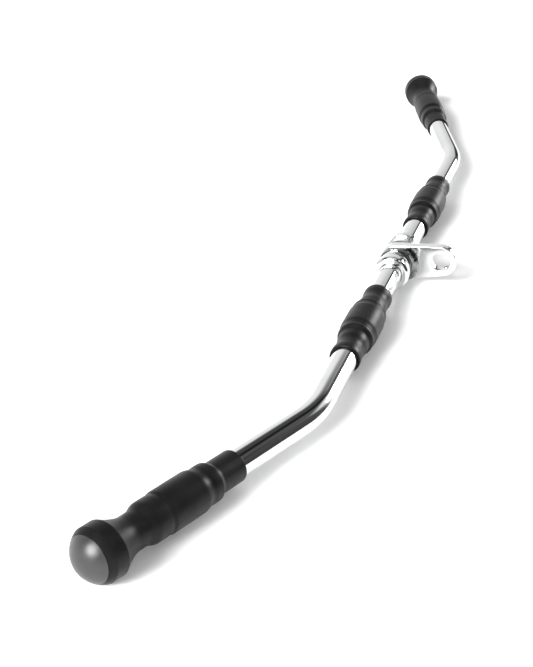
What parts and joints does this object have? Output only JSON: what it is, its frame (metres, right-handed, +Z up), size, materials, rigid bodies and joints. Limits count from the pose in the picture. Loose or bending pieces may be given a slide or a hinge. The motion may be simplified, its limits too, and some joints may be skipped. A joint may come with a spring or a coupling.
{
  "type": "lat pulldown bar",
  "caption": "Bent chromed lat pulldown bar with rubber grips inboard, rubber grips that swell into domed knobs on its angled arms, and a revolving central hanger with an eye.",
  "frame": {"origin": "bottom centre of the bounding box: the floor that the bar lies on, under its middle", "axes": "+X along the bar's straight middle, +Y toward the hanger's eye and away from the arms' bend, +Z up"},
  "size_m": [1.2036, 0.1812, 0.0477],
  "materials": {
    "chrome": "polished chrome plate",
    "rubber": "moulded, half gloss",
    "cap_plastic": "satin",
    "zinc_steel": "zinc plate",
    "black_steel": "black oxide"
  },
  "bodies": {
    "bar": {"bar_tube": "chrome", "stop_collar_right": "chrome", "stop_collar_left": "chrome", "inner_grip_right": "rubber", "inner_grip_left": "rubber", "outer_grip_right": "rubber", "outer_grip_left": "rubber", "end_cap_right": "cap_plastic", "end_cap_left": "cap_plastic", "thrust_washer_right": "zinc_steel", "thrust_washer_left": "zinc_steel", "end_plug_right": "zinc_steel", "end_plug_left": "zinc_steel", "retaining_washer_right": "zinc_steel", "retaining_washer_left": "zinc_steel", "set_screw_right": "black_steel", "set_screw_left": "black_steel", "retaining_screw_right": "black_steel", "retaining_screw_left": "black_steel"},
    "hanger": {"hanger_sleeve": "chrome", "eye_plate": "chrome", "weld_bead_right": "chrome", "weld_bead_left": "chrome", "bushing_right": "zinc_steel", "bushing_left": "zinc_steel"}
  },
  "joints": [
    {"name": "hanger_spin", "type": "hinge", "parent": "bar", "child": "hanger", "pos_m": [0, 0.02658, 0.0202], "axis": [1, 0, 0], "continuous": true}
  ]
}
